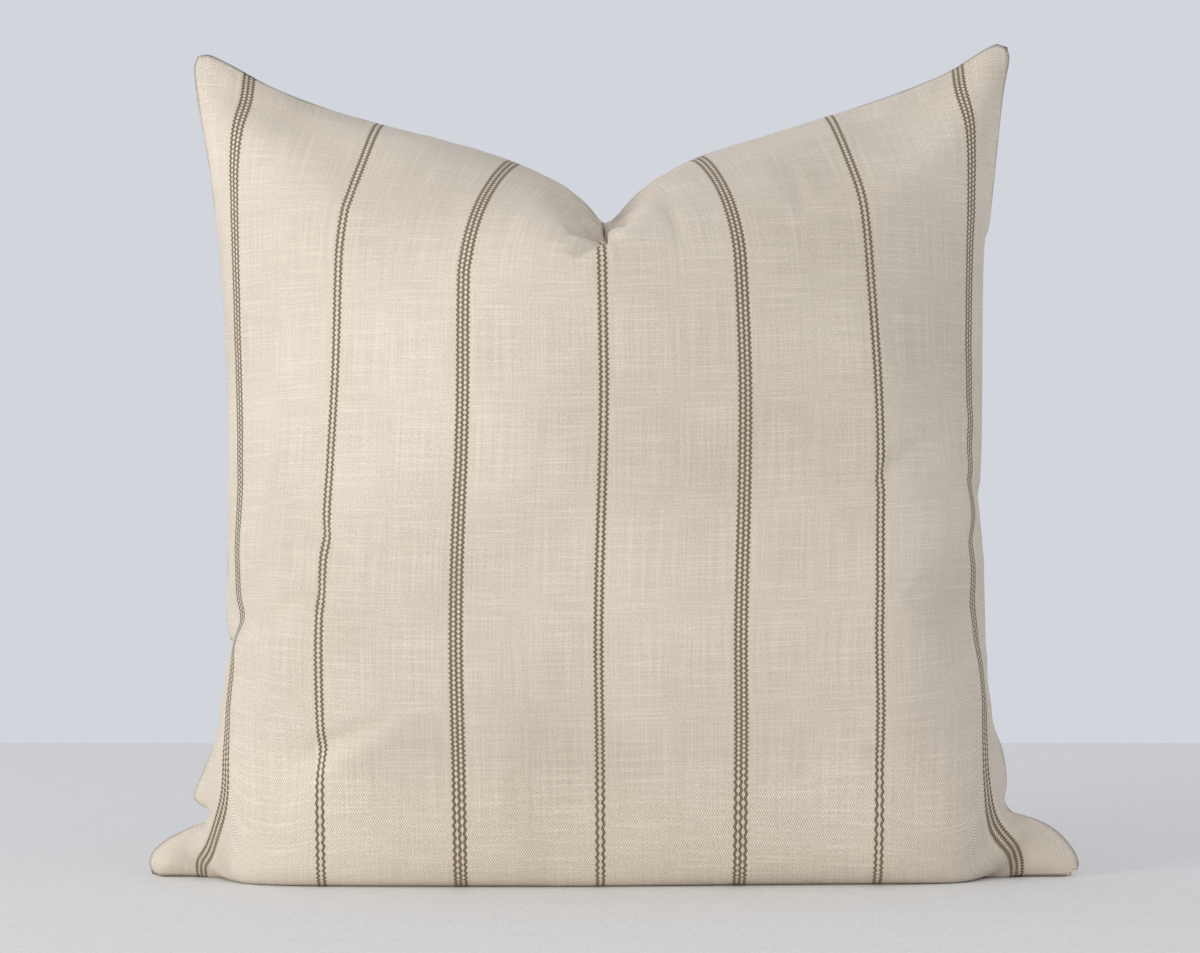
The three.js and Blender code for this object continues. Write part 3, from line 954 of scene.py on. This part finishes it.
def own_copy(name, node, material):
    """A copy of a CAD node's mesh with its loose corners merged and its flat faces made whole."""
    piece = bpy.data.objects.new(name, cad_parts[node].data.copy())
    bpy.context.scene.collection.objects.link(piece)
    deselect()
    piece.select_set(True)
    bpy.context.view_layer.objects.active = piece
    bpy.ops.object.mode_set(mode="EDIT")
    bpy.ops.mesh.select_all(action="SELECT")
    bpy.ops.mesh.remove_doubles(threshold=2e-6)
    bpy.ops.mesh.dissolve_limited(angle_limit=math.radians(2))
    bpy.ops.object.mode_set(mode="OBJECT")
    piece.data.materials.clear()
    piece.data.materials.append(material)
    return piece


def softened(name, node, width, material, body):
    """A cast piece of the zipper, with the rounded edges that enamel leaves."""
    piece = own_copy(name, node, material)
    bevel = piece.modifiers.new("edges", "BEVEL")
    bevel.width = width
    bevel.segments = 3
    bevel.limit_method = "ANGLE"
    bevel.angle_limit = math.radians(35)
    bpy.ops.object.modifier_apply(modifier=bevel.name)
    bpy.ops.object.shade_smooth_by_angle(angle=math.radians(40))
    return claim(piece, body, "zipper_enamel", node)


def coil(side, material):
    """One side's coil: a wire wound round and round along the tape's edge."""
    low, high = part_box(f"zipper_{side}_coil")
    middle = (low + high) / 2
    wire, pitch, steps = 0.00032, 0.0015, 10
    radius = (high.z - low.z) / 2 - wire
    deselect()
    start = (low.x + wire, middle.y, middle.z)
    bpy.ops.mesh.primitive_circle_add(vertices=6, radius=wire, location=start)
    piece = bpy.context.object
    piece.name = piece.data.name = f"zipper_{side}_coil_turns"
    bpy.ops.object.mode_set(mode="EDIT")
    bpy.ops.mesh.select_all(action="SELECT")
    bpy.ops.transform.rotate(value=math.pi / 2, orient_axis="X", center_override=start)
    bpy.ops.transform.translate(value=(0, 0, radius))
    bpy.ops.object.mode_set(mode="OBJECT")
    winding = piece.modifiers.new("winding", "SCREW")
    winding.axis = "X"
    winding.screw_offset = pitch
    winding.iterations = int((high.x - low.x - 2 * wire) / pitch)
    winding.steps = winding.render_steps = steps
    winding.use_merge_vertices = True
    bpy.ops.object.modifier_apply(modifier=winding.name)
    bpy.ops.object.transform_apply(location=True, rotation=True, scale=True)
    bpy.ops.object.mode_set(mode="EDIT")
    bpy.ops.mesh.select_all(action="DESELECT")
    bpy.ops.mesh.select_non_manifold()
    bpy.ops.mesh.edge_face_add()
    bpy.ops.mesh.select_all(action="SELECT")
    bpy.ops.mesh.normals_make_consistent(inside=False)
    bpy.ops.object.mode_set(mode="OBJECT")
    bpy.ops.object.shade_smooth()
    piece.data.materials.append(material)
    return claim(piece, "pillow", "zipper_coil", f"zipper_{side}_coil")


def tape_stitches(side, material):
    """The row of stitches that holds a tape: one stitch, then its copies."""
    low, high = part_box(f"zipper_{side}_tape_stitching")
    radius, stitch, pitch = 0.00018, 0.0024, 0.003
    middle = (low + high) / 2
    base, crest = low.z - 0.0001, high.z - radius
    shape = ((-0.5, base), (-0.4, crest - 0.0001), (0.0, crest), (0.4, crest - 0.0001), (0.5, base))
    points = [(low.x + stitch * (0.5 + x), middle.y, z) for x, z in shape]
    piece = thread_run(f"zipper_{side}_tape_stitches", points, radius, material)
    row = piece.modifiers.new("row", "ARRAY")
    row.use_relative_offset = False
    row.use_constant_offset = True
    row.constant_offset_displace = (pitch, 0, 0)
    row.count = int((high.x - low.x) / pitch)
    bpy.ops.object.modifier_apply(modifier=row.name)
    return claim(piece, "pillow", "sewing_thread", f"zipper_{side}_tape_stitching")


def zipper(tape, nylon, paint, sewing):
    """The closed zipper: tapes, coils, stops, slider and pull."""
    for side in ("front", "back"):
        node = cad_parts[f"zipper_{side}_tape"]
        node.data.materials.clear()
        node.data.materials.append(tape)
        tape_stitches(side, sewing)
        coil(side, nylon)
        softened(f"zipper_{side}_top_clamp", f"zipper_{side}_top_stop", 0.0003, paint, "pillow")
    softened("zipper_bottom_clamp", "zipper_bottom_stop", 0.0003, paint, "pillow")
    softened("zipper_slider_body", "zipper_slider", 0.00022, paint, "slider")
    softened("zipper_pull_teardrop", "zipper_pull_tab", 0.00022, paint, "pull")


def care_label(material):
    """A blank satin care label, lying inside the back panel with its corners a little curled."""
    low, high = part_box("care_label")
    width, length = high.x - low.x, high.y - low.y
    columns, rows = 24, 16
    deselect()
    middle = (low + high) / 2
    bpy.ops.mesh.primitive_grid_add(x_subdivisions=columns, y_subdivisions=rows, size=1, location=middle)
    piece = bpy.context.object
    piece.name = piece.data.name = "care_label_ribbon"
    piece.scale = (width, length, 1)
    bpy.ops.object.transform_apply(location=True, rotation=True, scale=True)
    layer = piece.data.uv_layers[0]
    layer.name = "cloth"
    for loop in piece.data.loops:
        x, y, _ = piece.data.vertices[loop.vertex_index].co
        layer.data[loop.index].uv = (x - low.x, y - low.y)
    for vert in piece.data.vertices:
        across, up = (vert.co.x - low.x) / width, (vert.co.y - low.y) / length
        curl = 0.0004 * (2 * abs(across - 0.5)) ** 3
        vert.co.z += curl * (1 - up) + 0.00012 * math.sin(across * 9) * math.sin(up * 5) - 0.0002
    thick = piece.modifiers.new("thickness", "SOLIDIFY")
    thick.thickness = 0.00018
    bpy.ops.object.modifier_apply(modifier=thick.name)
    bpy.ops.object.shade_smooth()
    piece.data.materials.clear()
    piece.data.materials.append(material)
    claim(piece, "pillow", "label_satin", "care_label")


def make_pillow():
    """Every piece of the pillow, from the outside in."""
    beige = cover_cloth("striped_linen", (0.41, 0.335, 0.24), (1.0, 0.9, 0.765), True)
    ivory = cover_cloth("plain_linen", (0.45, 0.385, 0.295), (1.0, 0.93, 0.815), False)
    sewing = thread("sewing_thread", (0.58, 0.52, 0.42), (0.8, 0.74, 0.63))
    white = thread("white_thread", (0.72, 0.71, 0.67), (0.92, 0.91, 0.88))
    shape = seated(eased(settle_cloth()))
    outer = cover(shape, (beige, ivory))
    seam_stitches("cover_overlock_stitches", outer, 0.003, 0.984, 0.966, 0.0003, sewing,
                  "cover_seam_overlock_thread")
    ticking = insert(outer, cambric(), feathers())
    seam_stitches("insert_seam_stitches", ticking, 0.0025, 0.99, 0.986, 0.00022, white, "insert_seam_thread")
    zipper(zipper_tape(), coil_nylon(), enamel(), sewing)
    care_label(label_satin())


# ---- Stage, light and camera ----


def table_top():
    """The linen-covered table: a slab with a soft back edge."""
    deselect()
    back, front, half_width, thickness = 0.957, -3.2, 3.0, 0.04
    middle = (0, (back + front) / 2, -thickness / 2)
    bpy.ops.mesh.primitive_cube_add(size=1, location=middle)
    table = bpy.context.object
    table.name = "table_top"
    table.scale = (2 * half_width, back - front, thickness)
    bpy.ops.object.transform_apply(location=True, rotation=True, scale=True)
    edge = table.modifiers.new("edge", "BEVEL")
    edge.width = 0.006
    edge.segments = 4
    bpy.ops.object.modifier_apply(modifier=edge.name)
    table.data.materials.append(table_linen())


def soft_light(name, place, size, power, tint, target=(0, 0, 0.2)):
    lamp = bpy.data.lights.new(name, "AREA")
    lamp.shape = "DISK"
    lamp.size = size
    lamp.energy = power
    lamp.color = tint
    holder = bpy.data.objects.new(name, lamp)
    holder.location = place
    holder.rotation_euler = (Vector(target) - Vector(place)).to_track_quat("-Z", "Y").to_euler()
    bpy.context.scene.collection.objects.link(holder)


def studio():
    """A large window to the left, a weak fill from the right, and pale walls all round."""
    world = bpy.data.worlds.new("pale_walls")
    world.use_nodes = True
    background = world.node_tree.nodes["Background"]
    background.inputs["Color"].default_value = (0.645, 0.665, 0.716, 1)
    background.inputs["Strength"].default_value = 1.0
    bpy.context.scene.world = world
    soft_light("window", (-2.3, -1.9, 0.4), 1.6, 51, (1.0, 0.99, 0.975))
    soft_light("fill", (1.6, -2.7, 0.3), 2.0, 9, (1.0, 0.98, 0.96))
    bpy.context.scene.view_settings.view_transform = "Standard"


def camera():
    """Level with the pillow's middle and straight in front of it, through a long lens."""
    lens = bpy.data.cameras.new("camera")
    lens.sensor_width = 36
    lens.lens = 104.13
    holder = bpy.data.objects.new("camera", lens)
    holder.location = (-0.0038, -1.9, 0.219)
    holder.rotation_euler = (math.pi / 2, 0, 0)
    bpy.context.scene.collection.objects.link(holder)
    bpy.context.scene.camera = holder


camera()
studio()
table_top()
make_pillow()
